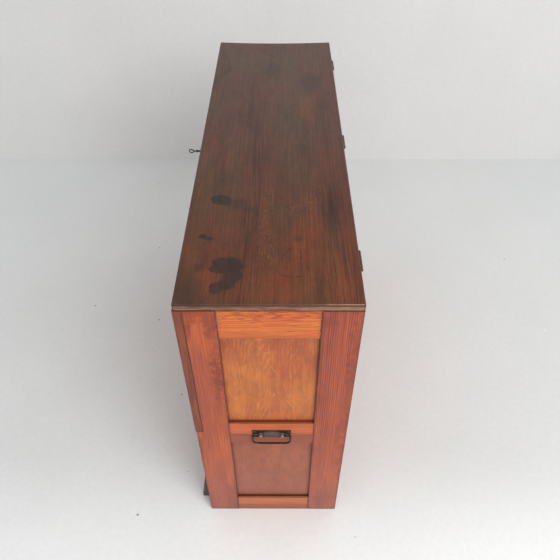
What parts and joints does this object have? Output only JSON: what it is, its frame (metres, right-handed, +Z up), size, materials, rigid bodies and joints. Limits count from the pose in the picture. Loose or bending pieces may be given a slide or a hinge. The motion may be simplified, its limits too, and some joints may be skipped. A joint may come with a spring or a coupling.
{
  "type": "plan chest",
  "caption": "Narrow vertical plan chest in stained pine: framed and panelled ends, hinged lid, drop flap in front, hook-bolt lock with key, bail handles.",
  "frame": {"origin": "on the floor, in the middle of the carcass's footprint, on the bottom board's underside", "axes": "+X along the chest to the right end, -Y to the front where the flap drops, +Z up"},
  "size_m": [1.2646, 0.4274, 0.92],
  "materials": {
    "lid_stain": "dark stained, worn",
    "stile_stain": "red stained, satin",
    "rail_stain": "orange stained, satin",
    "panel_ply": "stained plywood, satin",
    "lower_ply": "stained plywood, satin",
    "inner_pine": "bare pine",
    "foot_black": "black stained",
    "iron": "dark, worn",
    "steel": "dull"
  },
  "bodies": {
    "carcass": {"right_end_front_stile": "stile_stain", "right_end_back_stile": "stile_stain", "right_end_bottom_rail": "rail_stain", "right_end_middle_rail": "rail_stain", "right_end_top_rail": "rail_stain", "right_end_upper_panel": "panel_ply", "right_end_lower_panel": "lower_ply", "left_end_front_stile": "stile_stain", "left_end_back_stile": "stile_stain", "left_end_bottom_rail": "rail_stain", "left_end_middle_rail": "rail_stain", "left_end_top_rail": "rail_stain", "left_end_upper_panel": "panel_ply", "left_end_lower_panel": "lower_ply", "back_bottom_rail": "stile_stain", "back_top_rail": "stile_stain", "back_muntin": "stile_stain", "back_left_panel": "panel_ply", "back_right_panel": "panel_ply", "lower_front_bottom_rail": "stile_stain", "lower_front_top_rail": "stile_stain", "lower_front_muntin": "stile_stain", "lower_front_left_panel": "lower_ply", "lower_front_right_panel": "lower_ply", "bottom_board": "inner_pine", "lid_hinge_left_fixed_leaf": "steel", "lid_hinge_middle_fixed_leaf": "steel", "lid_hinge_right_fixed_leaf": "steel", "flap_hinge_left_fixed_leaf": "steel", "flap_hinge_middle_fixed_leaf": "steel", "flap_hinge_right_fixed_leaf": "steel", "right_handle_plate": "iron", "left_handle_plate": "iron", "left_front_foot": "foot_black", "right_front_foot": "foot_black", "left_hanging_rod": "steel", "right_hanging_rod": "steel"},
    "lid": {"lid_board": "lid_stain", "strike_plate": "steel", "lid_hinge_left_moving_leaf": "steel", "lid_hinge_middle_moving_leaf": "steel", "lid_hinge_right_moving_leaf": "steel"},
    "flap": {"flap_left_stile": "stile_stain", "flap_right_stile": "stile_stain", "flap_bottom_rail": "rail_stain", "flap_top_rail": "rail_stain", "flap_muntin": "rail_stain", "flap_left_panel": "panel_ply", "flap_right_panel": "panel_ply", "flap_hinge_left_moving_leaf": "steel", "flap_hinge_middle_moving_leaf": "steel", "flap_hinge_right_moving_leaf": "steel", "lock_case": "steel", "keyhole_escutcheon": "iron"},
    "key": {"key": "iron"},
    "hook_bolt": {"lock_hook_bolt": "steel"},
    "right_bail": {"right_bail": "iron"},
    "left_bail": {"left_bail": "iron"}
  },
  "joints": [
    {"name": "lid_hinge", "type": "hinge", "parent": "carcass", "child": "lid", "pos_m": [0, 0.1923, 0.90185], "axis": [-1, 0, 0], "range_deg": [0, 200]},
    {"name": "flap_hinge", "type": "hinge", "parent": "carcass", "child": "flap", "pos_m": [0, -0.1943, 0.451], "axis": [1, 0, 0], "range_deg": [0, 175]},
    {"name": "key_turn", "type": "hinge", "parent": "flap", "child": "key", "pos_m": [0, -0.1905, 0.8728], "axis": [0, 1, 0], "range_deg": [-30, 75]},
    {"name": "hook_swing", "type": "hinge", "parent": "flap", "child": "hook_bolt", "pos_m": [-0.01, -0.1778, 0.886], "axis": [0, -1, 0], "range_deg": [-22.5, 56]},
    {"name": "right_bail_swing", "type": "hinge", "parent": "carcass", "child": "right_bail", "pos_m": [0.6275, 0, 0.4445], "axis": [0, -1, 0], "range_deg": [-5, 185]},
    {"name": "left_bail_swing", "type": "hinge", "parent": "carcass", "child": "left_bail", "pos_m": [-0.6275, 0, 0.4445], "axis": [0, 1, 0], "range_deg": [-5, 185]}
  ],
  "couplings": [
    {"joint": "hook_swing", "follows": "key_turn", "ratio": 0.7444}
  ]
}
